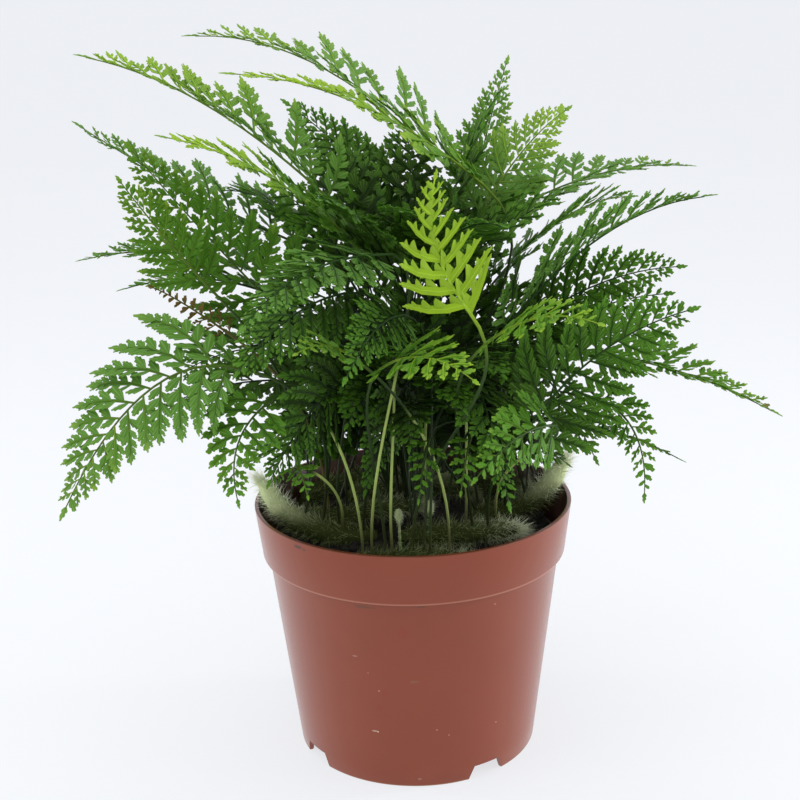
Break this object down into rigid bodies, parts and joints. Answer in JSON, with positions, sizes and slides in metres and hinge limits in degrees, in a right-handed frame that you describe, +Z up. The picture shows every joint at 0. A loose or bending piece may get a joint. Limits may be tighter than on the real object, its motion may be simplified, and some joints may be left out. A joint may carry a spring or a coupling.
{
  "type": "potted fern",
  "caption": "Leafy rabbit's foot fern with furry creeping rhizomes and finely cut arching fronds, growing in a round tapered plastic nursery pot with a rim band.",
  "frame": {"origin": "centre of the circle that the pot stands on, which is also under the middle of the plant", "axes": "+Z up along the pot's axis, -Y towards the viewer of the picture, +X to the viewer's right"},
  "size_m": [0.2557, 0.2079, 0.2695],
  "materials": {
    "pot": "satin",
    "soil": "matte",
    "rhizome": "matte",
    "crozier": "matte",
    "leaf": "satin",
    "young_leaf": "satin",
    "dry_leaf": "matte"
  },
  "bodies": {
    "root": {"pot": "pot", "soil": "soil", "rhizome_01": "rhizome", "rhizome_02": "rhizome", "rhizome_03": "rhizome", "rhizome_04": "rhizome", "rhizome_05": "rhizome", "rhizome_06": "rhizome", "rhizome_07": "rhizome", "rhizome_08": "rhizome", "crozier_01": "crozier", "crozier_02": "crozier", "frond_01": "leaf", "frond_02": "leaf", "frond_03": "young_leaf", "frond_04": "young_leaf", "frond_05": "young_leaf", "frond_06": "young_leaf", "frond_07": "leaf", "frond_08": "leaf", "frond_09": "leaf", "frond_10": "leaf", "frond_11": "leaf", "frond_12": "leaf", "frond_13": "leaf", "frond_14": "leaf", "frond_15": "young_leaf", "frond_16": "young_leaf", "frond_17": "leaf", "frond_18": "leaf", "frond_19": "leaf", "frond_20": "leaf", "frond_21": "leaf", "frond_22": "young_leaf", "frond_23": "leaf", "frond_24": "leaf", "frond_25": "leaf", "frond_26": "leaf", "frond_27": "leaf", "frond_28": "leaf", "frond_29": "leaf", "frond_30": "leaf", "frond_31": "leaf", "frond_32": "leaf", "frond_33": "leaf", "frond_34": "leaf", "frond_35": "leaf", "frond_36": "leaf", "frond_37": "leaf", "frond_38": "leaf", "frond_39": "leaf", "frond_40": "leaf", "frond_41": "leaf", "frond_42": "leaf", "frond_43": "leaf", "frond_44": "leaf", "frond_45": "leaf", "frond_46": "leaf", "frond_47": "leaf", "dry_frond_01": "dry_leaf"}
  },
  "joints": []
}
